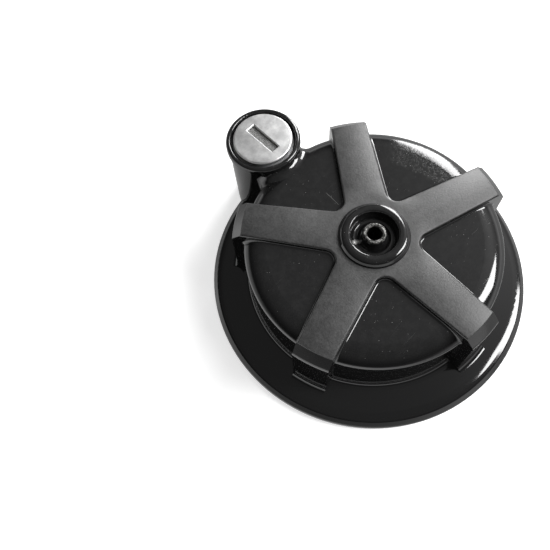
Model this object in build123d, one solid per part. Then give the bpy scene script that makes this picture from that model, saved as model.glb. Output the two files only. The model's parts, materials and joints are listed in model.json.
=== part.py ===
"""Locking fuel filler cap for a 60 mm bayonet neck.

One black moulding carries everything: a wide flange, a drum with a five-armed grip on it, and a
tube beside the drum for the key lock. A hollow rivet through the hub holds the sprung bayonet
plate and is the breather. The key turns a cam that draws a bolt from under the neck's collar.

Millimetres. The origin is on the cap's axis in the sealing plane, where the neck's mouth meets
the gasket. +Z points up through the grip and +Y points at the lock.
"""
from math import cos, hypot, radians, sqrt
import os

from build123d import *

os.makedirs("parts", exist_ok=True)

# ------------------------------------------------------------ driving dimensions
# Moulding: levels
seal_drop = 16.0          # from the sealing plane down to the edge the cap stands on
disc_rise = 33.0          # standing edge to the glossy disc
arm_rise = 35.0           # standing edge to the top of the arms
hub_rise = 37.3           # standing edge to the crest of the hub ring
stand_z = -seal_drop
disc_z = stand_z + disc_rise
arm_z = stand_z + arm_rise
hub_z = stand_z + hub_rise

# Moulding: flange
flange_r = 60.0
rim_w = 1.8               # steep outer band
rim_h = 2.6               # its height at the edge
rim_top_h = 4.3
slope_w = 2.2             # next band in, half as steep
slope_h = 5.19
flange_fall = 0.1         # fall of the gentle inner slope per millimetre
foot_h = 6.6              # where the flange meets the drum
foot_blend = 2.2
lip_w = 3.2               # solid edge that the cap stands on
wall = 2.6

# Moulding: drum and arms
drum_r = 45.25
shoulder = 3.55           # 45 degree bevel round the drum and over the arms' ends
shoulder_blend = 10.0
shoulder_corner = 1.5
roof = 2.8
arm_count = 5
arm_reach = 49.4
arm_half_root = 8.1       # half width of an arm, run in to the axis
arm_half_tip = 6.42
arm_draft = 0.5           # lean of an arm's end wall, top to bottom
web_blend = 3.8           # round between two arms
arm_edge = 0.8
arm_corner = 0.9
arm_foot = 1.0            # fillet along an arm's sides
arm_end_foot = 3.0        # fillet from an arm's end down to the flange

# Moulding: hub ring and well
hub_r = 12.15
hub_foot = 0.6            # the ring's edge above the arms' top
crest_r = 9.9
well_r = 8.4
well_slope = 1.0          # lean of the bowl's wall
well_floor_r = 5.6
well_depth = 4.6          # crest to the bowl's lowest ring
spigot_top_r = 4.15       # cone that the rivet's rolled end sits on

# Moulding: underside
boss_r = 9.5              # centre boss, whose end stops the bayonet plate
rib_t = 1.8
ring_rib_r = 32.0
spigot_r = 7.2            # double-D spigot that turns the bayonet plate
spigot_flat = 5.4
spigot_len = 9.4

# Rivet and breather
rivet_r = 3.5
rivet_bore_r = 2.46
rivet_lip_r = 4.22
rivet_lip_h = 1.1
rivet_foot_r = 5.4
rivet_foot_h = 1.2
seat_bore_r = 1.6         # crimp that the ball rests on
seat_h = 1.5
ball_r = 2.1
ball_lift = 2.0
vent_wire = 0.36
vent_turns = 4
vent_spring_len = 6.0
retainer_h = 1.4
retainer_bore_r = 1.3

# Sealing
plate_t = 1.2             # pressed seal plate
gasket_t = 3.0
gasket_r = 36.2
gasket_w = 7.8
dish = 1.8                # the plate's middle hangs this much lower than its seat
seal_screw_pitch_r = 19.5
seal_screw_count = 3
screw_r = 1.5
screw_head_r = 2.6
screw_head_h = 1.9
screw_grip = 7.0          # length of thread in the moulding
boss_wall = 1.7

# Bayonet
bayonet_t = 2.5
bayonet_r = 28.6
lug_half = 9.0
bayonet_waist = 7.6
bayonet_hub_r = 13.2
bayonet_lead = 1.1        # lead-in worn off the lugs' leading edges
stop_tab_h = 1.2
engage = 2.0              # gasket face to the lugs, cap free
draw = 3.5                # how far the plate is pulled down on the neck's ramps
spring_wire = 1.7
spring_turns = 2
spring_top_r = 9.6
spring_foot_r = 11.4
cup_t = 1.2
cup_r = 13.6
cup_lip_h = 1.4

# Lock: tube in the moulding
lock_y = 54.9
tube_r = 12.85
tube_blend = 3.4          # fillet between the tube and the drum
bead_r = 13.8
bead_h = 3.4
face_proud = 0.5          # lock face above the tube's rim
face_rise = 37.4          # standing edge to the lock face
mouth_r = 11.95           # counterbore that shows as a dark ring round the face
tube_bore_r = 10.5

# Lock: cylinder
face_r = 10.9
face_t = 0.8
face_edge = 0.6
slot_len = 13.2
slot_w = 3.3
slot_edge = 0.35          # coined edge of the slot
rotor_head_r = 9.3
rotor_head_h = 5.6
seal_wire_r = 0.4         # rubber ring in the head's groove
seal_up = 1.6             # head's underside to the groove
rotor_r = 7.2
rotor_body_h = 13.0
rotor_tail_r = 5.0
housing_flange_r = 11.4
housing_flange_t = 1.4
housing_web = 4.0
housing_lid_gap = 0.3     # housing rim to the underside of the face
keyway_w = 2.7
keyway_len = 10.4
groove_depth = 1.1        # stator grooves that the wafers drop into
groove_half = 3.9
wafer_count = 5
wafer_pitch = 2.3
wafer_t = 1.15
wafer_half = 3.5
wafer_travel = 0.8
wafer_slack = 0.06
wafer_first = 1.95        # plug's lower end to the middle of the first wafer
wafer_codes = [0.45, -0.3, 0.1, -0.5, 0.3]   # window's offset, one key's cuts
wafer_tab_w = 1.35        # spring tab, beyond the wafer's side
wafer_tab_y = 2.7
wafer_spring_r = 0.55
wafer_wire = 0.26
pin_r = 1.25              # roll pin that keeps the housing in the tube

# Lock: shutter behind the slot
flap_t = 0.5
flap_reach = 4.2
flap_len = 13.9
hinge_x = 2.55
hinge_drop = 0.95         # hinge pin below the face's underside
hinge_r = 0.45
curl_r = 0.82
hinge_gap = 4.0           # middle of the hinge, left for the spring

# Lock: cam, bolt and cover
cam_r = 6.7
cam_t = 1.5
cam_spigot_r = 2.6        # double-D end of the plug that turns the cam
cam_flat = 2.0
cam_throw = 4.6           # cam pin off the lock's axis
cam_pin_r = 1.5
cam_screw_head_r = 2.4
cam_screw_head_h = 1.9
cam_screw_r = 1.2
bolt_t = 2.4
bolt_half = 5.0
bolt_tip_r = 33.5         # bolt's tip from the cap's axis when it is out
bolt_gap = 0.4            # cam screw to bolt
bolt_head_step = 6.5      # bolt's wide part starts this far short of the lock's axis
bolt_rim = 1.4            # metal left round the cam pin's slot
cover_t = 2.4
cover_neck_half = 7.2
cover_skin = 1.0          # drum wall left outside the cover
guide_r = 37.4            # inner face of the bolt's guide
guide_half = 14.0
guide_top = 3.8           # guide above the bolt
cover_screw_x = 9.8
cover_screw_inset = 3.0   # guide's inner face to the screws

# Clearances
fit = 0.05                # parts that locate each other
run = 0.04                # parts that turn in each other
slide = 0.25              # parts that slide along each other
pin_slot_gap = 0.25       # cam pin in the bolt's slot

# ------------------------------------------------------------ levels worked out from these
arm_low_z = stand_z + foot_h - wall
ceiling_z = disc_z - roof
gasket_bore_r = gasket_r - gasket_w
gasket_z = 0.0
seat_z = gasket_z + gasket_t
seat_top_z = seat_z + plate_t
dish_z = seat_z - dish
dish_top_z = dish_z + plate_t
plate_top_z = gasket_z - engage
plate_z = plate_top_z - bayonet_t
spigot_z = plate_top_z - spigot_len
cup_z = spigot_z - cup_t
rivet_z = cup_z - rivet_foot_h
well_z = hub_z - well_depth
rivet_top_z = hub_z - 0.35

face_z = stand_z + face_rise
face_under_z = face_z - face_t
tube_top_z = face_z - face_proud
housing_top_z = face_under_z - housing_lid_gap
head_z = face_under_z - rotor_head_h
rotor_z = head_z - rotor_body_h
web_z = rotor_z - housing_web
cam_top_z = web_z - 0.1
cam_z = cam_top_z - cam_t
cam_screw_z = cam_z - cam_screw_head_h
bolt_top_z = cam_screw_z - bolt_gap
bolt_z = bolt_top_z - bolt_t
cover_top_z = bolt_z - slide
cover_z = cover_top_z - cover_t
cover_screw_y = guide_r + cover_screw_inset
guide_low_z = cover_z - 1.75
guide_top_z = bolt_top_z + guide_top
ledge_z = housing_top_z - 2.8
hinge_z = face_under_z - hinge_drop
pocket_z = hinge_z - flap_reach - 0.3
seal_root_r = rotor_head_r - 2 * seal_wire_r
seal_groove_z = head_z + seal_up
wafer_levels = [rotor_z + wafer_first + wafer_pitch * k for k in range(wafer_count)]
tab_x = wafer_half + wafer_tab_w
pin_z = web_z + housing_web / 2
pin_start_y = drum_r - wall - 1.0
pin_end_y = lock_y - rotor_tail_r - 1.6
pin_x = cam_throw * cos(radians(45))
bolt_travel = 2 * pin_x

arm_pitch = 360 / arm_count
arm_angles = [90 + arm_pitch * (k + 0.5) for k in range(arm_count)]
rib_angles = [90 + arm_pitch * k for k in range(arm_count)]
seal_screw_angles = [90 + 60 + 360 / seal_screw_count * k for k in range(seal_screw_count)]
lock_at = Pos(0, lock_y, 0)


# ------------------------------------------------------------ helpers
def turned(*corners):
    """Revolve a closed outline of (radius, height[, round]) corners about Z."""
    points = [corner[:2] for corner in corners]
    rounds = [corner[2] if len(corner) > 2 else 0 for corner in corners]
    outline = make_face(FilletPolyline(*points, radius=rounds, close=True))
    return revolve(Plane.XZ * outline, Axis.Z)


def rod(radius, z_low, z_high, x=0, y=0):
    return Pos(x, y, z_low) * Cylinder(radius, z_high - z_low, align=(Align.CENTER, Align.CENTER, Align.MIN))


def block(x_low, x_high, y_low, y_high, z_low, z_high):
    centre = ((x_low + x_high) / 2, (y_low + y_high) / 2, (z_low + z_high) / 2)
    return Pos(*centre) * Box(x_high - x_low, y_high - y_low, z_high - z_low)


def around(shape, angles):
    """Copies of a shape that points along +X, turned to each angle about Z."""
    copies = [Rot(0, 0, angle) * shape for angle in angles]
    return copies[0] + copies[1:]


def double_d(radius, flat, z_low, z_high):
    return rod(radius, z_low, z_high) & block(-radius, radius, -flat, flat, z_low, z_high)


def coil(wire, z_low, z_high, turns, foot_r, top_r):
    """Round wire wound from foot_r at the bottom to top_r at the top."""
    height = z_high - z_low - wire
    taper = (top_r - foot_r) / height
    cone = 0 if taper == 0 else Vector(1, 0, 0).get_angle(Vector(1, 0, taper)) * (1 if taper > 0 else -1)
    path = Helix(height / turns, height, foot_r, cone_angle=cone)
    start = Plane(origin=path @ 0, z_dir=path % 0)
    wound = sweep(start * Circle(wire / 2), path=path, is_frenet=True)
    return Pos(0, 0, z_low + wire / 2) * wound


# ------------------------------------------------------------ moulding
def drum_and_tube():
    """Drum with a bevelled shoulder and the lock's tube, filleted where they meet."""
    drum = turned((0, arm_low_z), (drum_r, arm_low_z), (drum_r, disc_z - shoulder, shoulder_corner),
                  (drum_r - shoulder, disc_z, shoulder_blend), (0, disc_z))
    joined = drum + lock_at * rod(tube_r, arm_low_z, disc_z + tube_blend + 1)

    def on_tube(edge):
        middle = edge @ 0.5
        return abs(hypot(middle.X, middle.Y - lock_y) - tube_r) < 0.01 and arm_low_z < middle.Z <= disc_z + 0.01

    joined = fillet(joined.edges().filter_by(on_tube), tube_blend)
    return joined - lock_at * rod(tube_r + 1, tube_top_z - 1.0, disc_z + tube_blend + 2)


def flange():
    slope_r = flange_r - rim_w - slope_w
    ease_r = drum_r + foot_blend
    return turned(
        (0, stand_z), (flange_r, stand_z, 0.6), (flange_r, stand_z + rim_h, 1.0),
        (flange_r - rim_w, stand_z + rim_top_h, 2.0), (slope_r, stand_z + slope_h, 7.0),
        (ease_r, flange_top(ease_r), 3.0), (drum_r, stand_z + foot_h, foot_blend - 0.2),
        (drum_r, stand_z + foot_h + 2), (0, stand_z + foot_h + 2))


def flange_top(radius):
    """Height of the flange's gentle inner slope."""
    slope_r = flange_r - rim_w - slope_w
    return stand_z + slope_h + (slope_r - radius) * flange_fall


def star(reach, inset=0.0):
    """Plan of the arms: tapered bars with a round in each corner between them."""
    bar = make_face(Polyline((0, -arm_half_root + inset), (reach, -arm_half_tip + inset),
                             (reach, arm_half_tip - inset), (0, arm_half_root - inset), close=True))
    bar = fillet(bar.vertices().sort_by(Axis.X)[-2:], arm_corner)
    plan = around(bar, arm_angles)
    inner = plan.vertices().sort_by(lambda vertex: hypot(vertex.X, vertex.Y))[:arm_count]
    return fillet(inner, web_blend)


def arms():
    """Prism of the star, its ends cut to the drum's bevel and filleted down to the flange."""
    end_r = arm_reach + arm_draft
    far = 2 * arm_reach
    prism = Pos(0, 0, arm_low_z) * extrude(star(end_r + arm_end_foot), arm_z - arm_low_z)
    prism = fillet(prism.faces().sort_by(Axis.Z)[-1].edges(), arm_edge)
    beyond = turned((end_r, flange_top(end_r) - 0.02, arm_end_foot), (far, flange_top(far) - 0.02), (far, arm_z + 1),
                    (arm_reach - shoulder - 1, arm_z + 1), (arm_reach, arm_z - shoulder, shoulder_corner))
    return prism - beyond


def grip():
    """Drum, tube and arms, with a fillet where the arms' sides meet the drum."""
    joined = drum_and_tube() + arms()

    def beside_arm(edge):
        middle = edge @ 0.5
        return abs(middle.Z - disc_z) < 0.01 and hypot(middle.X, middle.Y) < drum_r - shoulder - shoulder_blend

    return fillet(joined.edges().filter_by(beside_arm), arm_foot)


def hub():
    """Rounded ring with a bowl in it and a cone in the bowl for the rivet."""
    base = disc_z - roof
    return turned(
        (0, base), (hub_r, base), (hub_r, arm_z + hub_foot, 0.5), (crest_r + 1.0, hub_z, 2.2),
        (well_r, hub_z - 0.1, 0.7), (well_r - well_slope, well_z, 1.2), (well_floor_r, well_z, 1.1),
        (spigot_top_r, rivet_top_z - rivet_lip_h), (0, rivet_top_z - rivet_lip_h))


def tube_foot():
    return lock_at * turned((0, stand_z), (tube_r, stand_z, 0.8), (tube_r, arm_low_z + 1), (0, arm_low_z + 1))


def tube_bead():
    """Thicker mouth of the tube."""
    low = tube_top_z - bead_h
    return lock_at * turned(
        (tube_r - 1, low - 1), (tube_r, low - 1), (tube_r, low, 0.3), (bead_r, low + 0.6, 0.5),
        (bead_r, tube_top_z, 1.15), (mouth_r, tube_top_z, 0.65), (mouth_r, tube_top_z - 1.0),
        (mouth_r, low - 1))


def bolt_guide():
    """Block inside the drum's wall that the bolt slides through."""
    guide = block(-guide_half, guide_half, guide_r, drum_r, guide_low_z, guide_top_z)
    return guide & rod(drum_r - 0.2, guide_low_z, guide_top_z)


def screw_boss(z_low):
    return rod(screw_r + boss_wall, z_low, arm_z, seal_screw_pitch_r, 0)


def underside():
    """Everything taken out of the moulding from below."""
    hollow = turned(
        (0, stand_z - 1), (flange_r - lip_w, stand_z - 1), (flange_r - lip_w, stand_z + rim_top_h - wall, 0.6),
        (drum_r + 1, arm_low_z, 1.0), (drum_r - wall, arm_low_z, 1.2),
        (drum_r - wall, ceiling_z, 1.5), (0, ceiling_z))
    pocket_plan = star(arm_reach - wall, wall)
    pockets = Pos(0, 0, stand_z - 1) * extrude(pocket_plan, arm_z - roof - stand_z + 1)
    pockets -= rod(hub_r + wall, stand_z - 2, arm_z)
    boss = rod(boss_r, plate_top_z, arm_z)
    ring_rib = rod(ring_rib_r + rib_t, seat_top_z, arm_z) - rod(ring_rib_r, seat_top_z - 1, arm_z + 1)
    long_rib = block(0, drum_r, -rib_t / 2, rib_t / 2, seat_top_z, arm_z)
    screw_bosses = around(screw_boss(dish_top_z), seal_screw_angles)
    tube = lock_at * rod(tube_r, stand_z - 2, arm_z)
    kept = boss + around(long_rib, rib_angles) + ring_rib + screw_bosses + bolt_guide() + tube
    return (hollow + pockets) - kept


def cover_plan(grow):
    """Outline of the bolt's cover: a disc in the tube's bore, a neck, and a tongue in the drum."""
    disc = Pos(0, lock_y) * Circle(tube_bore_r - slide + grow)
    low = guide_r + slide - grow
    high = lock_y - tube_bore_r * 0.7
    neck = Pos(0, (low + high) / 2) * Rectangle(2 * (cover_neck_half + grow), high - low)
    tongue = Pos(0, (low + high) / 2) * Rectangle(2 * (guide_half - slide + grow), high - low)
    return disc + neck + (tongue & Circle(drum_r - cover_skin - slide + grow))


def lock_room():
    """Bore, bolt channel, cover pocket and pin hole for the lock."""
    bore = lock_at * turned(
        (0, cover_top_z - 1), (tube_bore_r, cover_top_z - 1), (tube_bore_r, ledge_z),
        (mouth_r, ledge_z), (mouth_r, face_z + 1), (0, face_z + 1))
    pocket = Pos(0, 0, stand_z - 1) * extrude(cover_plan(slide), cover_top_z - stand_z + 1)
    nose = block(-bolt_half - slide, bolt_half + slide, guide_r - 1, lock_y - tube_bore_r * 0.7,
                 cover_top_z - 0.1, bolt_top_z + slide)
    screws = rod(screw_r + 0.02, cover_z, cover_top_z + screw_grip - 1.0, cover_screw_x, cover_screw_y)
    screws += rod(screw_r + 0.02, cover_z, cover_top_z + screw_grip - 1.0, -cover_screw_x, cover_screw_y)
    return bore + pocket + nose + screws + pin_hole()


def pin_hole():
    length = pin_end_y - pin_start_y + 1
    hole = Cylinder(pin_r + 0.02, length, align=(Align.CENTER, Align.CENTER, Align.MIN))
    return Pos(0, pin_start_y, pin_z) * Rot(-90, 0, 0) * hole


def cap_body():
    moulding = flange() + grip() + tube_foot()
    moulding -= rod(well_r, well_z - 1, arm_z + 1)
    moulding += hub()
    moulding += tube_bead()
    moulding -= underside()
    spigot = double_d(spigot_r, spigot_flat, spigot_z, plate_top_z + 1)
    moulding += spigot
    moulding -= rod(rivet_r + fit, spigot_z - 1, hub_z + 1)
    pilot = rod(screw_r + 0.02, dish_top_z - 1, dish_top_z + screw_grip, seal_screw_pitch_r, 0)
    moulding -= around(pilot, seal_screw_angles)
    return moulding - lock_room()


# ------------------------------------------------------------ rivet and breather
def centre_rivet():
    """Tube rolled over the hub's cone at the top and over the spring cup at the bottom."""
    top = rivet_top_z
    seat_top = rivet_z + seat_h + 1.2
    return turned(
        (rivet_bore_r, seat_top), (rivet_bore_r, top, 0.65), (rivet_lip_r, top, 0.85),
        (rivet_lip_r, top - rivet_lip_h, 0.2), (rivet_r, top - rivet_lip_h), (rivet_r, cup_z),
        (rivet_foot_r, cup_z, 0.3), (rivet_foot_r, rivet_z, 0.4), (seat_bore_r, rivet_z, 0.2),
        (seat_bore_r, seat_top - seat_h))


def ball_centre_z():
    """Height at which the ball touches the crimp's cone, plus a hair."""
    slope = (rivet_bore_r - seat_bore_r) / seat_h
    across = ball_r * sqrt(1 + slope**2)
    cone_foot = rivet_z + 1.2
    return cone_foot + (across - seat_bore_r) / slope + 0.03


def vent_ball():
    return Pos(0, 0, ball_centre_z()) * Sphere(ball_r)


def vent_spring():
    low = ball_centre_z() + ball_r + 0.05
    return coil(vent_wire, low, low + vent_spring_len, vent_turns, rivet_bore_r - 0.7, rivet_bore_r - 0.7)


def vent_retainer():
    low = ball_centre_z() + ball_r + 0.1 + vent_spring_len
    return turned((retainer_bore_r, low, 0.2), (rivet_bore_r, low), (rivet_bore_r, low + retainer_h),
                  (retainer_bore_r, low + retainer_h, 0.2))


# ------------------------------------------------------------ sealing
def seal_plate():
    """Pressed dish: flat seat for the gasket, a turned-down lip, a lower middle round the boss."""
    bore = boss_r + fit
    step_r = gasket_bore_r - 0.1
    lip_r = gasket_r + 0.1
    low = gasket_z + gasket_t - 2.0
    plate = turned(
        (bore, dish_z), (step_r, dish_z, 0.8), (step_r, seat_z), (lip_r, seat_z), (lip_r, low),
        (lip_r + plate_t, low), (lip_r + plate_t, seat_top_z, 1.0), (step_r - plate_t, seat_top_z, 0.5),
        (step_r - plate_t, dish_top_z, 0.4), (bore, dish_top_z))
    holes = around(rod(screw_r + 0.2, dish_z - 1, dish_top_z + 1, seal_screw_pitch_r, 0), seal_screw_angles)
    return plate - holes


def tapping_screw(head_top_z, grip):
    """Pan-headed screw that points up, its head below head_top_z."""
    head = turned((0, head_top_z - screw_head_h), (screw_head_r, head_top_z - screw_head_h, 0.8),
                  (screw_head_r, head_top_z), (0, head_top_z))
    shank = turned((0, head_top_z - 0.5), (screw_r, head_top_z - 0.5), (screw_r, head_top_z + grip - 1.2),
                   (0.3, head_top_z + grip))
    slot_across = block(-screw_head_r, screw_head_r, -0.35, 0.35, head_top_z - 3, head_top_z - screw_head_h + 0.7)
    slot_along = Rot(0, 0, 90) * slot_across
    socket = rod(screw_head_r * 0.55, head_top_z - 3, head_top_z - 0.2)
    return head + shank - ((slot_across + slot_along) & socket)


def seal_plate_screws():
    screw = tapping_screw(dish_z, plate_t + screw_grip - 0.5)
    return around(Pos(seal_screw_pitch_r, 0, 0) * screw, seal_screw_angles)


def gasket():
    return turned((gasket_bore_r, gasket_z, 0.5), (gasket_r, gasket_z, 0.5),
                  (gasket_r, seat_z, 0.3), (gasket_bore_r, seat_z, 0.3))


# ------------------------------------------------------------ bayonet
def bayonet_plate():
    """Two-lugged plate: waisted arms, ramped leading edges, turned-up stops at the trailing edges."""
    arm = make_face(Polyline((0, -bayonet_waist), (bayonet_r * 0.62, -bayonet_waist),
                             (bayonet_r * 0.74, -lug_half), (bayonet_r, -lug_half), (bayonet_r, lug_half),
                             (bayonet_r * 0.74, lug_half), (bayonet_r * 0.62, bayonet_waist),
                             (0, bayonet_waist), close=True))
    plan = (arm + Rot(0, 0, 180) * arm + Circle(bayonet_hub_r)) & Circle(bayonet_r)
    plate = Pos(0, 0, plate_z) * extrude(plan, bayonet_t)
    lead_len = 5.0
    wedge_side = make_face(Polyline((lug_half - lead_len, plate_top_z), (lug_half + 1, plate_top_z + 1),
                                    (lug_half + 1, plate_top_z - bayonet_lead), (lug_half, plate_top_z - bayonet_lead),
                                    close=True))
    wedge = extrude(Plane.YZ * wedge_side, bayonet_r)
    wedge = Pos(bayonet_r * 0.7, 0, 0) * (wedge & block(0, bayonet_r, 0, 2 * lug_half, plate_z, plate_top_z + 2))
    stop_outer = bayonet_r * 0.86
    stop = block(bayonet_r * 0.74, stop_outer, -lug_half, -lug_half + bayonet_t * 0.8,
                 plate_top_z - 0.5, plate_top_z + stop_tab_h)
    both = [0, 180]
    plate = plate - around(wedge, both) + around(stop, both)
    return plate - double_d(spigot_r + 0.15, spigot_flat + 0.15, plate_z - 1, plate_top_z + 1)


def main_spring():
    return coil(spring_wire, cup_z + cup_t + 0.02, plate_z - 0.02, spring_turns, spring_foot_r, spring_top_r)


def spring_cup():
    return turned((rivet_r + fit, cup_z), (cup_r, cup_z, 0.8), (cup_r, spigot_z + cup_lip_h),
                  (cup_r - cup_t, spigot_z + cup_lip_h), (cup_r - cup_t, spigot_z, 0.3), (rivet_r + fit, spigot_z))


# ------------------------------------------------------------ lock cylinder
def lock_housing():
    bore = rotor_r + run
    shell = turned(
        (rotor_tail_r + run, web_z), (tube_bore_r - fit, web_z, 0.5), (tube_bore_r - fit, ledge_z),
        (housing_flange_r, ledge_z), (housing_flange_r, ledge_z + housing_flange_t, 0.3),
        (tube_bore_r - fit, ledge_z + housing_flange_t), (tube_bore_r - fit, housing_top_z, 0.3),
        (rotor_head_r + run, housing_top_z), (rotor_head_r + run, head_z - 0.05), (bore, head_z - 0.05),
        (bore, rotor_z - 0.05), (rotor_tail_r + run, rotor_z - 0.05))
    reach = rotor_r + groove_depth
    along = block(-groove_half, groove_half, -reach, reach, rotor_z, head_z)
    grooves = rod(reach, rotor_z, head_z) & (along + Rot(0, 0, 90) * along)
    return lock_at * (shell - grooves) - pin_hole()


def housing_pin():
    pin = Cylinder(pin_r, pin_end_y - pin_start_y - 0.4, align=(Align.CENTER, Align.CENTER, Align.MIN))
    return Pos(0, pin_start_y + 0.4, pin_z) * Rot(-90, 0, 0) * chamfer(pin.edges().filter_by(GeomType.CIRCLE), 0.25)


def lock_rotor():
    """Plug with the shutter's pocket in its head, a keyway, and a slot across it for each wafer."""
    plug = turned((0, web_z - 0.1), (rotor_tail_r, web_z - 0.1), (rotor_tail_r, rotor_z), (rotor_r, rotor_z, 0.3),
                  (rotor_r, head_z), (rotor_head_r, head_z, 0.2), (rotor_head_r, face_under_z), (0, face_under_z))
    plug -= turned((seal_root_r, seal_groove_z), (rotor_head_r + 1, seal_groove_z),
                   (rotor_head_r + 1, seal_groove_z + 2 * seal_wire_r + 0.1),
                   (seal_root_r, seal_groove_z + 2 * seal_wire_r + 0.1))
    plug += double_d(cam_spigot_r, cam_flat, cam_z, web_z)
    half_len = flap_len / 2 + 0.2
    plug -= block(hinge_x - flap_reach - 0.3, hinge_x + curl_r + 0.2, -half_len, half_len,
                  pocket_z, face_under_z + 1)
    plug -= block(-keyway_w / 2, keyway_w / 2, -keyway_len / 2, keyway_len / 2, rotor_z + 0.9, pocket_z + 1)
    for level in wafer_levels:
        low, high = level - wafer_t / 2 - wafer_slack, level + wafer_t / 2 + wafer_slack
        plug -= block(-wafer_half - wafer_slack, wafer_half + wafer_slack, -rotor_r, rotor_r, low, high)
        plug -= block(wafer_half, tab_x + 0.15, -wafer_tab_y - 0.2, wafer_tab_y + 1.0 + wafer_travel + 0.2, low, high)
    plug -= rod(cam_screw_r + 0.02, cam_z - 1, rotor_z - 0.2)
    plug -= Pos(hinge_x, 0, hinge_z) * Rot(90, 0, 0) * Cylinder(hinge_r + 0.02, flap_len + 1.2)
    return lock_at * plug


def rotor_seal():
    centre_z = seal_groove_z + seal_wire_r + 0.05
    return lock_at * Pos(0, 0, centre_z) * Torus(rotor_head_r - seal_wire_r, seal_wire_r)


def lock_face():
    disc = turned((0, face_under_z), (face_r, face_under_z), (face_r, face_z, face_edge), (0, face_z))
    disc -= block(-slot_w / 2, slot_w / 2, -slot_len / 2, slot_len / 2, face_under_z - 1, face_z + 1)
    top = disc.faces().filter_by(Plane.XY).sort_by(Axis.Z)[-1]
    return lock_at * chamfer(top.inner_wires()[0].edges(), slot_edge)


def shutter():
    """Flap with its long edge curled round the pin, the curl cut away in the middle."""
    curl = Rot(90, 0, 0) * Cylinder(curl_r, flap_len)
    leaf = block(-flap_reach, 0, -flap_len / 2, flap_len / 2, curl_r - 0.08 - flap_t, curl_r - 0.08)
    flap = curl + leaf - Rot(90, 0, 0) * Cylinder(hinge_r + run, flap_len + 1)
    flap -= block(-curl_r - 0.15, curl_r + 1, -hinge_gap / 2, hinge_gap / 2, -2, 2)
    return lock_at * Pos(hinge_x, 0, hinge_z) * flap


def shutter_pin():
    return lock_at * Pos(hinge_x, 0, hinge_z) * Rot(90, 0, 0) * Cylinder(hinge_r, flap_len + 1.0)


def shutter_spring():
    wire = 0.24
    wound = coil(wire, -hinge_gap / 2 + 0.3, hinge_gap / 2 - 0.3, 5, hinge_r + wire / 2 + 0.03, hinge_r + wire / 2 + 0.03)
    return lock_at * Pos(hinge_x, 0, hinge_z) * Rot(90, 0, 0) * wound


def wafer(index):
    """Brass wafer: round-ended plate with a window for the key and a tab for its spring."""
    blank = Pos(0, 0) * Rectangle(2 * wafer_half, 2 * rotor_r)
    blank = blank & Circle(rotor_r - 0.08)
    tab = Pos((wafer_half + tab_x) / 2 - 0.5, wafer_tab_y + 0.5) * Rectangle(tab_x - wafer_half + 1.0, 1.0)
    window = Pos(0, wafer_codes[index]) * Rectangle(keyway_w + 0.1, keyway_len - 1.4)
    low = wafer_levels[index] - wafer_t / 2
    return lock_at * Pos(0, 0, low) * extrude(blank + tab - window, wafer_t)


def wafer_springs():
    """One coil beside each wafer, between the plug and the wafer's tab."""
    x = (wafer_half + tab_x) / 2 + 0.1
    one = Rot(-90, 0, 0) * coil(wafer_wire, -wafer_tab_y - 0.1, wafer_tab_y - 0.1, 5, wafer_spring_r - wafer_wire / 2,
                               wafer_spring_r - wafer_wire / 2)
    springs = [lock_at * Pos(x, 0, level) * one for level in wafer_levels]
    return Compound(children=springs)


# ------------------------------------------------------------ cam, bolt and cover
def lock_cam():
    disc = rod(cam_r, cam_z, cam_top_z) - double_d(cam_spigot_r + fit, cam_flat + fit, cam_z - 1, cam_top_z + 1)
    pin = rod(cam_pin_r, bolt_z + 0.15, cam_z + 0.5, pin_x, -pin_x)
    return lock_at * (disc + pin)


def cam_screw():
    head = turned((0, cam_screw_z), (cam_screw_head_r, cam_screw_z, 0.6), (cam_screw_head_r, cam_z - 0.02), (0, cam_z - 0.02))
    shank = rod(cam_screw_r, cam_z - 0.5, rotor_z - 0.6)
    return lock_at * (head + shank)


def lock_bolt():
    """Flat bolt: a nose that hooks under the neck's collar and a head with the cam pin's slot."""
    slot_low = pin_x - cam_pin_r - pin_slot_gap
    slot_high = cam_throw + cam_pin_r + pin_slot_gap
    slot_half = cam_pin_r + pin_slot_gap
    head_x = slot_high + bolt_rim
    rear = -pin_x + slot_half + bolt_rim
    tip = bolt_tip_r - lock_y
    nose = Pos(0, (tip + rear) / 2) * Rectangle(2 * bolt_half, rear - tip)
    head = Pos((head_x - bolt_half) / 2, (rear - bolt_head_step) / 2) * Rectangle(head_x + bolt_half, rear + bolt_head_step)
    slot = Pos((slot_low + slot_high) / 2, -pin_x) * Rectangle(slot_high - slot_low, 2 * slot_half)
    slot = fillet(slot.vertices(), slot_half - 0.05)
    plate = extrude(nose + head - slot, bolt_t)
    ramp = make_face(Polyline((tip, 0), (tip + 1.6, 0), (tip, 1.2), close=True))
    plate -= Pos(-bolt_half, 0, 0) * extrude(Plane.YZ * ramp, 2 * bolt_half)
    return lock_at * Pos(0, 0, bolt_z) * plate


def bolt_cover():
    plate = Pos(0, 0, cover_z) * extrude(cover_plan(0), cover_t)
    for side in (-1, 1):
        plate -= rod(screw_r + 0.2, cover_z - 1, cover_top_z + 1, side * cover_screw_x, cover_screw_y)
    return plate


def cover_screws():
    screw = tapping_screw(cover_z, cover_t + screw_grip - 1.5)
    return Pos(-cover_screw_x, cover_screw_y, 0) * screw + Pos(cover_screw_x, cover_screw_y, 0) * screw


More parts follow.
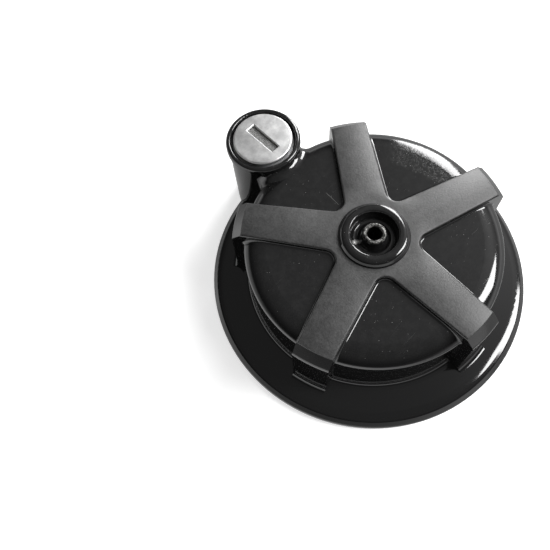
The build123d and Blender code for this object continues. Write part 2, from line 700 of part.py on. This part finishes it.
# ------------------------------------------------------------ write the parts
parts = {
    "cap_body": cap_body(),
    "centre_rivet": centre_rivet(),
    "vent_ball": vent_ball(),
    "vent_spring": vent_spring(),
    "vent_retainer": vent_retainer(),
    "seal_plate": seal_plate(),
    "seal_plate_screws": seal_plate_screws(),
    "gasket": gasket(),
    "bayonet_plate": bayonet_plate(),
    "main_spring": main_spring(),
    "spring_cup": spring_cup(),
    "lock_housing": lock_housing(),
    "housing_pin": housing_pin(),
    "lock_rotor": lock_rotor(),
    "rotor_seal": rotor_seal(),
    "lock_face": lock_face(),
    "shutter": shutter(),
    "shutter_pin": shutter_pin(),
    "shutter_spring": shutter_spring(),
    "wafer_springs": wafer_springs(),
    "lock_cam": lock_cam(),
    "cam_screw": cam_screw(),
    "lock_bolt": lock_bolt(),
    "bolt_cover": bolt_cover(),
    "cover_screws": cover_screws(),
}
for number in range(wafer_count):
    parts[f"wafer_{number + 1}"] = wafer(number)

for name, shape in parts.items():
    export_step(shape, f"parts/{name}.step")
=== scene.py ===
"""Locking fuel filler cap: finishes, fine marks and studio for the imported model.

A wide black moulding with a five-armed grip, a hollow rivet through its hub, and a key lock in a
tube beside the drum. Under it are the gasket, its pressed plate and the sprung bayonet.
Metres; +Z up, the lock towards +Y, the cap standing on its flange.
"""
import json
from math import cos, pi, radians, sin

import bpy
from mathutils import Matrix, Quaternion, Vector


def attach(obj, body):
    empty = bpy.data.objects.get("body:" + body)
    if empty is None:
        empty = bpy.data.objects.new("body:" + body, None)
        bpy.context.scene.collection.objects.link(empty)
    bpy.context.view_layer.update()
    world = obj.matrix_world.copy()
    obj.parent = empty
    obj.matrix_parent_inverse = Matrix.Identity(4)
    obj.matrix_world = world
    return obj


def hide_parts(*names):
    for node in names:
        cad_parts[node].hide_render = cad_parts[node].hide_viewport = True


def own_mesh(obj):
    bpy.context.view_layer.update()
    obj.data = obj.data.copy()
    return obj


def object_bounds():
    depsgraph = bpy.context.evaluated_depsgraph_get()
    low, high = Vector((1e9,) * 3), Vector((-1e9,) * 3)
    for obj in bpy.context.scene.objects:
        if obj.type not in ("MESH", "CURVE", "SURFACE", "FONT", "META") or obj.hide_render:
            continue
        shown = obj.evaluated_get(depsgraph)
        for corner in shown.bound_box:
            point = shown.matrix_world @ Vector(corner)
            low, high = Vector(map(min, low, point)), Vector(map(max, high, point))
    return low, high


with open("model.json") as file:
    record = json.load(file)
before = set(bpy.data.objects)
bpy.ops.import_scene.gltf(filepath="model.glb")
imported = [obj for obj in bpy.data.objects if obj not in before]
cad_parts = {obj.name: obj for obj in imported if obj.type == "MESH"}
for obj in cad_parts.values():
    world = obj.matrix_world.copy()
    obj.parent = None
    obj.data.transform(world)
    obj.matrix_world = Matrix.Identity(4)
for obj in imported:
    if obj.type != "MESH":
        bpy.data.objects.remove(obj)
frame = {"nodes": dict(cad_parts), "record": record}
cad_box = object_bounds()
nodes = frame["nodes"]
mm = 0.001

# ------------------------------------------------------------ studio
# A white sheet under the cap on a darker table, two window-shaped lamps on the right, and a dim room
# with a glow behind the lamps. Floor and sky are plain white to the camera, and glossy pieces show
# the sky's white near the horizon.
class Shade:
    """A socket of a finish's tree. Sums on it add Math nodes."""

    def __init__(self, tree, socket):
        self.tree, self.socket = tree, socket

    def node(self, kind, settings=None, sockets=None, out=0):
        made = self.tree.nodes.new(kind)
        for name, value in (settings or {}).items():
            setattr(made, name, value)
        for name, value in (sockets or {}).items():
            if isinstance(value, Shade):
                self.tree.links.new(value.socket, made.inputs[name])
            else:
                made.inputs[name].default_value = value
        return Shade(self.tree, made.outputs[out])

    def math(self, operation, *values):
        return self.node("ShaderNodeMath", {"operation": operation}, dict(enumerate(values)))

    def __add__(self, other):
        return self.math("ADD", self, other)

    def __sub__(self, other):
        return self.math("SUBTRACT", self, other)

    def __rsub__(self, other):
        return self.math("SUBTRACT", other, self)

    def __mul__(self, other):
        return self.math("MULTIPLY", self, other)

    def __truediv__(self, other):
        return self.math("DIVIDE", self, other)

    def __pow__(self, other):
        return self.math("POWER", self, other)

    __radd__, __rmul__ = __add__, __mul__

    def rise(self, low, high):
        """0 below low, 1 above high, smooth between."""
        limits = {"Value": self, "From Min": low, "From Max": high}
        return self.node("ShaderNodeMapRange", {"interpolation_type": "SMOOTHSTEP"}, limits)

    def tint(self, dark, light):
        """From one colour to another as the value goes from 0 to 1."""
        sockets = {"Factor": self, "A": (*dark, 1), "B": (*light, 1)}
        return self.node("ShaderNodeMix", {"data_type": "RGBA"}, sockets, "Result")

    def blend(self, under, over):
        """Lays a colour over another by this share."""
        sockets = {"Factor": self, "A": under, "B": (*over, 1)}
        return self.node("ShaderNodeMix", {"data_type": "RGBA"}, sockets, "Result")

    def stretched(self, across, along, high, turn=0.0):
        """A place scaled per axis after a turn about Z."""
        sockets = {"Vector": self, "Scale": (across, along, high), "Rotation": (0, 0, radians(turn))}
        return self.node("ShaderNodeMapping", None, sockets)

    def noise(self, per_mm, detail=2.0, roughness=0.5):
        sockets = {"Vector": self, "Scale": per_mm, "Detail": detail, "Roughness": roughness}
        return self.node("ShaderNodeTexNoise", None, sockets)

    def specks(self, per_mm):
        """Distance to the nearest of scattered points, and that point's own random number."""
        sockets = {"Vector": self, "Scale": per_mm}
        near = self.node("ShaderNodeTexVoronoi", None, sockets, "Distance")
        chance = self.node("ShaderNodeTexVoronoi", None, sockets, "Color")
        return near, chance.node("ShaderNodeSeparateColor", None, {0: chance})

    def bump(self, height_mm, strength=1.0):
        sockets = {"Height": self, "Strength": strength, "Distance": height_mm * mm}
        return self.node("ShaderNodeBump", None, sockets)


def axes_of(place):
    """The place's three coordinates, one shade each."""
    parts = place.node("ShaderNodeSeparateXYZ", None, {0: place})
    return [Shade(place.tree, parts.socket.node.outputs[k]) for k in range(3)]


floor_level = cad_box[0].z
floor_half = 4.0
paper_tone = 0.80
table_tone = 0.28
paper_roughness = 0.9
paper_ends = (0.085, 0.13)      # from the cap's axis, where the sheet gives way to the table
paper_lift = 0.66
# Painted reflected light: glossy pieces see the sheet at a dimmed tone with a glow of its own, stronger
# on its left, away from the lamps, where the cap's shadow lies.
mirrored_tone = 0.38            # share of the sheet's own tone that glossy pieces show
mirrored_lift = 0.30
painted_left_glow = 1.10            # brighter on the side away from the lamps
left_edges = (0.02, 0.10)

near_side, far_side = -floor_half, floor_half
corners = [(near_side, near_side), (far_side, near_side), (far_side, far_side), (near_side, far_side)]
floor_mesh = bpy.data.meshes.new("floor")
floor_mesh.from_pydata([(x, y, floor_level) for x, y in corners], [], [(0, 1, 2, 3)])
floor = bpy.data.objects.new("floor", floor_mesh)
bpy.context.scene.collection.objects.link(floor)

paper = bpy.data.materials.new("paper")
paper.use_nodes = True
sheet = paper.node_tree.nodes["Principled BSDF"]
sheet.inputs["Roughness"].default_value = paper_roughness
sheet.inputs["Emission Color"].default_value = (1, 1, 1, 1)
place = Shade(paper.node_tree, None).node("ShaderNodeTexCoord", None, None, "Object")
outward = place.node("ShaderNodeVectorMath", {"operation": "LENGTH"}, {0: place}, "Value")
ended = outward.rise(*paper_ends)
tone = paper_tone - (paper_tone - table_tone) * ended
seen = place.node("ShaderNodeLightPath", None, None, "Is Camera Ray")
glossy = place.node("ShaderNodeLightPath", None, None, "Is Glossy Ray")
through = place.node("ShaderNodeLightPath", None, None, "Is Transmission Ray")
mirrored = glossy + through
# The sheet's glow to glossy rays is painted light, stronger towards the left.
leftward = (-1 * axes_of(place)[0]).rise(*left_edges)
lift = seen * (paper_lift + paper_tone - tone) + mirrored * (mirrored_lift + painted_left_glow * leftward)
tone = tone * (1 - (1 - mirrored_tone) * mirrored)
paper.node_tree.links.new(tone.socket, sheet.inputs["Base Color"])
paper.node_tree.links.new(lift.socket, sheet.inputs["Emission Strength"])
floor_mesh.materials.append(paper)

backdrop_top = (0.05, 0.30)    # where the white backdrop ends, as the height of the view's direction
dim_level = 0.05
room_level = 0.178
room_rises = (0.3, 0.85)
glow_level = 0.8
glow_narrow = 12.0
glow_bearing = radians(-3)
glow_height = radians(40)
glow_way = (cos(glow_bearing) * cos(glow_height), sin(glow_bearing) * cos(glow_height), sin(glow_height))

sky = bpy.data.worlds.new("sky")
bpy.context.scene.world = sky
sky.use_nodes = True
way = Shade(sky.node_tree, None).node("ShaderNodeTexCoord", None, None, "Generated")
toward = way.node("ShaderNodeVectorMath", {"operation": "DOT_PRODUCT"}, {0: way, 1: glow_way}, "Value")
fading = (toward - 1) * glow_narrow
height = way.node("ShaderNodeSeparateXYZ", None, {0: way}, "Z")
room = (room_level - dim_level) * height.rise(*room_rises)
level = dim_level + room + glow_level * fading.math("EXPONENT", fading)
seen = way.node("ShaderNodeLightPath", None, None, "Is Camera Ray")
glossy = way.node("ShaderNodeLightPath", None, None, "Is Glossy Ray")
through = way.node("ShaderNodeLightPath", None, None, "Is Transmission Ray")
shown = seen + (glossy + through) * (1 - height.rise(*backdrop_top))
sky.node_tree.links.new((level + shown).socket, sky.node_tree.nodes["Background"].inputs["Color"])


def window_lamp(name, bearing, height, across, tall, lean, radiance, distance=2.0):
    """Soft lamp seen from the cap at that bearing and height, its top leaning right, in degrees."""
    lamp = bpy.data.lights.new(name, "AREA")
    lamp.shape = "RECTANGLE"
    lamp.size, lamp.size_y = across, tall
    lamp.energy = radiance * pi * across * tall
    holder = bpy.data.objects.new(name, lamp)
    bpy.context.scene.collection.objects.link(holder)
    b, h = radians(bearing), radians(height)
    outward = Vector((cos(b) * cos(h), sin(b) * cos(h), sin(h)))
    holder.location = outward * distance
    leaning = Quaternion((0, 0, 1), radians(lean))
    holder.rotation_euler = (outward.to_track_quat("Z", "Y") @ leaning).to_euler()


window_lamp("window_far", bearing=17, height=25, across=0.66, tall=1.60, lean=17, radiance=15)
window_lamp("window_near", bearing=-43, height=38, across=0.64, tall=1.15, lean=28, radiance=18)

# ------------------------------------------------------------ camera
# It looks down steeply on the cap from the lower left, a little rolled.
camera_place = (-0.0791, -0.0480, 0.2059)
camera_bearing = radians(36.81)
camera_drop = radians(67.89)
camera_roll = radians(-8.08)
sensor = 36.0
picture = 550
focal_share = 601.1 / picture
shift = (-2.7 / picture, 1.2 / picture)
nearest_seen = 0.01

level_share = cos(camera_drop)
ahead = Vector((sin(camera_bearing) * level_share, cos(camera_bearing) * level_share, -sin(camera_drop)))
level_right = Vector((cos(camera_bearing), -sin(camera_bearing), 0))
level_up = level_right.cross(ahead)
right = level_right * cos(camera_roll) + level_up * sin(camera_roll)
up = level_up * cos(camera_roll) - level_right * sin(camera_roll)
camera = bpy.data.cameras.new("camera")
camera.sensor_width = sensor
camera.lens = sensor * focal_share
camera.shift_x, camera.shift_y = shift
camera.clip_start = nearest_seen
viewer = bpy.data.objects.new("camera", camera)
bpy.context.scene.collection.objects.link(viewer)
turned = Matrix((right, up, -ahead)).transposed().to_4x4()
viewer.matrix_world = Matrix.Translation(camera_place) @ turned
bpy.context.scene.camera = viewer
bpy.context.scene.view_settings.view_transform = "Standard"


# ------------------------------------------------------------ black moulding
# Flange, drum, arms, hub ring and lock tube are one injection moulding in glossy black nylon.
# The tool is polished except for the tops of the arms, which carry a fine spark-eroded grain.
def new_finish(name):
    """A material with its shader, and the place on the piece in millimetres."""
    material = bpy.data.materials.new(name)
    material.use_nodes = True
    tree = material.node_tree
    shader = tree.nodes["Principled BSDF"]
    start = Shade(tree, shader.outputs[0])
    raw = start.node("ShaderNodeTexCoord", None, None, "Object")
    place = raw.node("ShaderNodeVectorMath", {"operation": "SCALE"}, {"Vector": raw, "Scale": 1 / mm})
    return material, shader, place


def set_finish(shader, **sockets):
    """Sets sockets of the shader by name, underscores for spaces, with values or shades."""
    for name, value in sockets.items():
        socket = shader.inputs[name.replace("_", " ")]
        if isinstance(value, Shade):
            value.tree.links.new(value.socket, socket)
        elif isinstance(value, tuple):
            socket.default_value = (*value, 1)
        else:
            socket.default_value = value


def wear_finish(material, *names):
    """Gives these pieces the finish, in place of what they came with."""
    for name in names:
        mesh = nodes[name].data
        mesh.materials.clear()
        mesh.materials.append(material)


lock_axis_y = 54.9
arm_top = 19.0
disc_top = 17.0
hub_edge_r = 12.35
tube_clear_r = 14.4
smeared_spot = (35.5, 7.5)      # where the disc was handled most
smeared_r = 16.0
smeared_in = 32.5
dust_per_mm = 1.7
# Where a painted highlight sits on the wall of the hub's bowl, and how far it fades, in millimetres.
bowl_highlight_spot = (-5.4, 3.4, 17.4)
highlight_spread = (0.5, 1.4)
scratch_x = 0.23
scratch_lean = 0.052
scratch_y = (17.2, 24.3)
scratch_half = (0.05, 0.13)
arm_end = 44.0
arm_half = 7.0
arm_droop = 2.6                 # how far the arms' ends seem to fall, as shading
arm_crown = 0.65
crown_starts = (14, 22)
half_arm_turn = radians(36)     # half of the angle from one arm to the next
nylon_ior = 1.6


def black_moulding():
    material, shader, place = new_finish("black_moulding")
    x, y, z = axes_of(place)
    from_axis = (x * x + y * y) ** 0.5
    from_lock = (x * x + (y - lock_axis_y) ** 2) ** 0.5
    from_smear = ((x - smeared_spot[0]) ** 2 + (y - smeared_spot[1]) ** 2) ** 0.5

    on_arms = z.rise(arm_top - 0.25, arm_top - 0.08) * (1 - z.rise(arm_top + 0.05, arm_top + 0.15))
    off_hub = from_axis.rise(hub_edge_r, hub_edge_r + 0.15)
    grained = on_arms * off_hub * from_lock.rise(tube_clear_r, tube_clear_r + 0.1)
    grain = place.noise(2.2, 3.0, 0.65)
    cloud = place.noise(0.09, 3.0, 0.6)
    mottle = place.noise(0.35, 3.0, 0.6)
    pores = place.noise(1.3, 2.0, 0.7)
    round_hub = x.math("ARCTAN2", y, x) + half_arm_turn / 2
    aside = from_axis * x.math("SINE", x.math("PINGPONG", round_hub, half_arm_turn))
    crowned = arm_crown * (aside / arm_half) ** 2 * from_axis.rise(*crown_starts)
    crown = -1 * (arm_droop * (from_axis / arm_end) ** 4 + crowned)

    facing_up = z.rise(disc_top - 2.2, disc_top - 0.8)
    ragged = from_axis + 5 * place.noise(0.5, 4.0, 0.65)
    by_spot = 1 - from_smear.rise(smeared_r * 0.6, smeared_r)
    smeared = by_spot * facing_up * ragged.rise(smeared_in, smeared_in + 2)
    near, chance = place.specks(dust_per_mm)
    dusty = 0.10 * facing_up * cloud.rise(0.40, 0.60) + 0.34 * smeared * mottle.rise(0.42, 0.60)
    speck = (1 - near.rise(0.04, 0.26)) * (1 - chance.rise(dusty - 0.05, dusty + 0.01)) * (1 - grained)
    film = place.noise(1.1, 4.0, 0.7).rise(0.35, 0.7) * smeared * (1 - grained)
    # Painted highlight: a streaked near-white patch, rougher than the gloss, where a window lamp's
    # reflection lies in the hub's bowl.
    from_highlight_spot = ((x - bowl_highlight_spot[0]) ** 2 + (y - bowl_highlight_spot[1]) ** 2 + (z - bowl_highlight_spot[2]) ** 2) ** 0.5
    highlight_streaks = place.stretched(0.4, 2.5, 0.5, 25).noise(1.5, 3.0, 0.7).rise(0.25, 0.5)
    painted_highlight = (1 - from_highlight_spot.rise(*highlight_spread)) * highlight_streaks
    off_line = x - scratch_x - scratch_lean * y
    along = y.rise(scratch_y[0], scratch_y[0] + 0.6) * (1 - y.rise(scratch_y[1] - 0.6, scratch_y[1]))
    across = off_line.math("ABSOLUTE", off_line)
    scratch = (1 - across.rise(*scratch_half)) * along * facing_up * (1 - grained)
    hair = place.stretched(0.05, 2.2, 1, 62).noise(1.0, 1.0, 0.5)
    hair_cross = place.stretched(0.04, 1.9, 1, -25).noise(1.0, 1.0, 0.5)
    scratched = (hair.rise(0.745, 0.76) + hair_cross.rise(0.755, 0.77)) * facing_up

    wear = 0.5 * mottle.rise(0.3, 0.7) + 0.5 * pores.rise(0.3, 0.7)
    worn = wear.tint((0.030, 0.030, 0.030), (0.062, 0.062, 0.062))
    haze = facing_up * (0.6 * mottle.rise(0.4, 0.7) + 0.4 * pores.rise(0.4, 0.7))
    hazed = haze.tint((0.0080, 0.0080, 0.0082), (0.0145, 0.0145, 0.0145))
    black = grained.node("ShaderNodeMix", {"data_type": "RGBA"},
                         {"Factor": grained, "A": hazed, "B": worn}, "Result")
    marked = 0.85 * speck + 0.25 * scratch + 0.05 * film
    black = marked.math("MINIMUM", marked, 1.0).blend(black, (0.34, 0.34, 0.33))
    # The painted highlight in the bowl, laid over the black in near white.
    black = painted_highlight.blend(black, (0.8, 0.8, 0.78))
    hairlines = scratched.math("MINIMUM", scratched, 1.0)
    gloss = 0.09 + 0.22 * hairlines + 0.4 * speck + 0.10 * film + 0.35 * painted_highlight
    matt = 0.41 + 0.08 * mottle + 0.08 * pores
    smooth_way = film.bump(0.012)
    grain_way = (crown + 0.03 * grain + 0.06 * pores).bump(1.0)
    way = grained.node("ShaderNodeMix", {"data_type": "VECTOR"},
                       {"Factor": grained, "A": smooth_way, "B": grain_way}, "Result")
    set_finish(shader, Base_Color=black, Roughness=gloss + grained * (matt - gloss), Normal=way)
    shader.inputs["IOR"].default_value = nylon_ior
    return material


wear_finish(black_moulding(), "cap_body", "bolt_cover", "vent_retainer")


# ------------------------------------------------------------ centre rivet and breather
# Steel tube rolled over at both ends. The rolled lip is rough from the tool and lightly oxidised.
def rolled_steel():
    material, shader, place = new_finish("rolled_steel")
    fine = place.noise(4.0, 4.0, 0.7)
    blotch = place.noise(0.9, 3.0, 0.6)
    pitted = fine.rise(0.36, 0.5)
    colour = (blotch.rise(0.35, 0.75) * pitted).tint((0.020, 0.020, 0.019), (0.24, 0.237, 0.23))
    set_finish(shader, Base_Color=colour, Metallic=1.0, Roughness=0.24 + 0.25 * blotch,
               Normal=(fine * 0.5 + blotch).bump(0.22))
    return material


wear_finish(rolled_steel(), "centre_rivet", "vent_ball")


# ------------------------------------------------------------ plated steel
# Zinc plate over pressed and machined steel: bright, with a faint blue cast and dull handling marks.
def zinc_plate():
    material, shader, place = new_finish("zinc_plate")
    cloud = place.noise(0.25, 4.0, 0.6)
    fine = place.noise(3.0, 3.0, 0.6)
    rubbed = place.stretched(0.15, 2.5, 1, 20).noise(1.2, 2.0, 0.6)
    colour = cloud.rise(0.3, 0.75).tint((0.50, 0.51, 0.53), (0.67, 0.67, 0.66))
    set_finish(shader, Base_Color=colour, Metallic=1.0, Roughness=0.26 + 0.18 * cloud + 0.08 * rubbed,
               Normal=(fine * 0.5 + rubbed * 0.5).bump(0.02, 0.4))
    return material


wear_finish(zinc_plate(), "seal_plate", "seal_plate_screws", "bayonet_plate", "spring_cup",
            "lock_cam", "cam_screw", "lock_bolt", "cover_screws")


# ------------------------------------------------------------ springs and pins
# Bright drawn wire, with draw lines along it and a trace of oil.
def drawn_wire():
    material, shader, place = new_finish("drawn_wire")
    fine = place.noise(4.0, 3.0, 0.65)
    colour = fine.rise(0.35, 0.7).tint((0.34, 0.335, 0.33), (0.52, 0.51, 0.50))
    set_finish(shader, Base_Color=colour, Metallic=1.0, Roughness=0.24 + 0.16 * fine,
               Normal=fine.bump(0.01, 0.4))
    return material


wear_finish(drawn_wire(), "main_spring", "vent_spring", "shutter_spring", "wafer_springs", "housing_pin",
            "shutter_pin")

# The bayonet's coil and the breather's coil each stand on one end and shorten in use.
# Each gets its own copy of its mesh, held on the cap, in place of the imported one.
for joint in frame["record"]["behaviour"]["joints"]:
    for spring in joint.get("deforming_nodes", []):
        name = spring["node"]
        coil = bpy.data.objects.new(name + "_coil", nodes[name].data.copy())
        bpy.context.scene.collection.objects.link(coil)
        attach(coil, "cap")
        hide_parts(name)
        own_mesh(coil)


# ------------------------------------------------------------ gasket and rotor seal
# Fuel-proof rubber, matt black with a bloom of talc.
def black_rubber():
    material, shader, place = new_finish("black_rubber")
    fine = place.noise(3.5, 3.0, 0.6)
    bloom = place.noise(0.3, 4.0, 0.6)
    colour = bloom.rise(0.35, 0.8).tint((0.018, 0.018, 0.018), (0.045, 0.045, 0.044))
    set_finish(shader, Base_Color=colour, Roughness=0.62 + 0.15 * bloom, Normal=fine.bump(0.03, 0.5))
    return material


wear_finish(black_rubber(), "gasket", "rotor_seal")


# ------------------------------------------------------------ lock housing and plug
# Die-cast zinc alloy, satin grey as it leaves the tool.
def cast_zinc():
    material, shader, place = new_finish("cast_zinc")
    fine = place.noise(2.5, 4.0, 0.65)
    cloud = place.noise(0.3, 3.0, 0.6)
    colour = cloud.rise(0.3, 0.7).tint((0.33, 0.335, 0.34), (0.46, 0.46, 0.465))
    set_finish(shader, Base_Color=colour, Metallic=1.0, Roughness=0.42 + 0.15 * fine,
               Normal=fine.bump(0.04, 0.5))
    return material


wear_finish(cast_zinc(), "lock_housing", "lock_rotor")


# ------------------------------------------------------------ lock face and shutter
# Stainless cap over the plug, satin brushed and finger-marked; behind its slot is a dull sprung flap.
face_dome = 0.0026              # fall of the face per square millimetre from its axis


def brushed_stainless():
    material, shader, place = new_finish("brushed_stainless")
    x, y, z = axes_of(place)
    brushed = place.stretched(0.35, 4.0, 1, -35).noise(2.2, 3.0, 0.6)
    cloud = place.noise(0.28, 4.0, 0.65)
    domed = face_dome * (x * x + (y - lock_axis_y) ** 2)
    colour = cloud.rise(0.3, 0.75).tint((0.56, 0.56, 0.56), (0.80, 0.80, 0.795))
    set_finish(shader, Base_Color=colour, Metallic=1.0, Roughness=0.34 + 0.16 * cloud + 0.08 * brushed,
               Normal=(0.006 * brushed - domed).bump(1.0))
    return material


def dull_stainless():
    material, shader, place = new_finish("dull_stainless")
    fine = place.noise(3.2, 4.0, 0.7)
    colour = fine.rise(0.35, 0.68).tint((0.12, 0.12, 0.12), (0.42, 0.42, 0.41))
    set_finish(shader, Base_Color=colour, Metallic=0.9, Roughness=0.45 + 0.2 * fine,
               Normal=fine.bump(0.08, 0.7))
    return material


wear_finish(brushed_stainless(), "lock_face")
wear_finish(dull_stainless(), "shutter")


# ------------------------------------------------------------ wafers
# Stamped brass, yellow on the faces and dull where the key has not rubbed.
def stamped_brass():
    material, shader, place = new_finish("stamped_brass")
    cloud = place.noise(0.6, 3.0, 0.6)
    fine = place.noise(4.0, 2.0, 0.6)
    colour = cloud.rise(0.3, 0.7).tint((0.52, 0.36, 0.14), (0.78, 0.60, 0.30))
    set_finish(shader, Base_Color=colour, Metallic=1.0, Roughness=0.28 + 0.15 * cloud,
               Normal=fine.bump(0.02, 0.4))
    return material


wafers = [name for name in nodes if name.startswith("wafer_") and name != "wafer_springs"]
wear_finish(stamped_brass(), *wafers)
